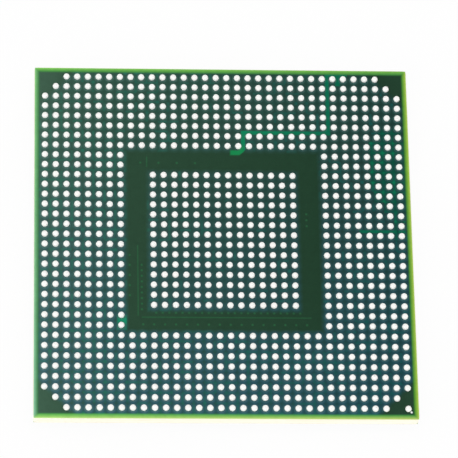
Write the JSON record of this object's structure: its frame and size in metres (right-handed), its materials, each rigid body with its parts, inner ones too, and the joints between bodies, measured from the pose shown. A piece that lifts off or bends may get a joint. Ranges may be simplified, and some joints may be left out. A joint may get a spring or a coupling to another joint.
{
  "type": "ball grid array chip package",
  "caption": "Flat square chip package lying on its bare die with the grid of solder balls facing up on a green board, and small capacitors round the die underneath.",
  "frame": {"origin": "middle of the back of the die, the face that the package lies on", "axes": "+Z out of the board through the solder balls, -Y towards the camera side, the A1 corner at +X, -Y"},
  "size_m": [0.035, 0.035, 0.0025],
  "materials": {
    "laminate": "matt woven glass and resin, cut edge",
    "copper": "etched copper",
    "solder_mask": "glossy dark green",
    "white_ink": "matt",
    "gold": "satin",
    "silicon": "ground and polished",
    "underfill": "glossy dark epoxy",
    "solder": "satin",
    "capacitor_ceramic": "matt",
    "tin": "satin",
    "solder_ball": "satin solder"
  },
  "bodies": {
    "root": {"laminate": "laminate", "ball_side_copper": "copper", "ball_lands": "copper", "ball_side_mask": "solder_mask", "corner_dot": "white_ink", "die_side_copper": "copper", "die_side_mask": "solder_mask", "corner_mark": "gold", "die": "silicon", "underfill": "underfill", "capacitor_lands": "copper", "capacitor_solder": "solder", "capacitor_ceramics": "capacitor_ceramic", "capacitor_end_caps": "tin", "balls_row_a": "solder_ball", "balls_row_b": "solder_ball", "balls_row_c": "solder_ball", "balls_row_d": "solder_ball", "balls_row_e": "solder_ball", "balls_row_f": "solder_ball", "balls_row_g": "solder_ball", "balls_row_h": "solder_ball", "balls_row_j": "solder_ball", "balls_row_k": "solder_ball", "balls_row_l": "solder_ball", "balls_row_m": "solder_ball", "balls_row_n": "solder_ball", "balls_row_p": "solder_ball", "balls_row_r": "solder_ball", "balls_row_t": "solder_ball", "balls_row_u": "solder_ball", "balls_row_v": "solder_ball", "balls_row_w": "solder_ball", "balls_row_y": "solder_ball", "balls_row_aa": "solder_ball", "balls_row_ab": "solder_ball", "balls_row_ac": "solder_ball", "balls_row_ad": "solder_ball", "balls_row_ae": "solder_ball", "balls_row_af": "solder_ball", "balls_row_ag": "solder_ball", "balls_row_ah": "solder_ball", "balls_row_aj": "solder_ball", "balls_row_ak": "solder_ball", "balls_row_al": "solder_ball", "balls_row_am": "solder_ball", "balls_row_an": "solder_ball", "balls_row_ap": "solder_ball"}
  },
  "joints": []
}
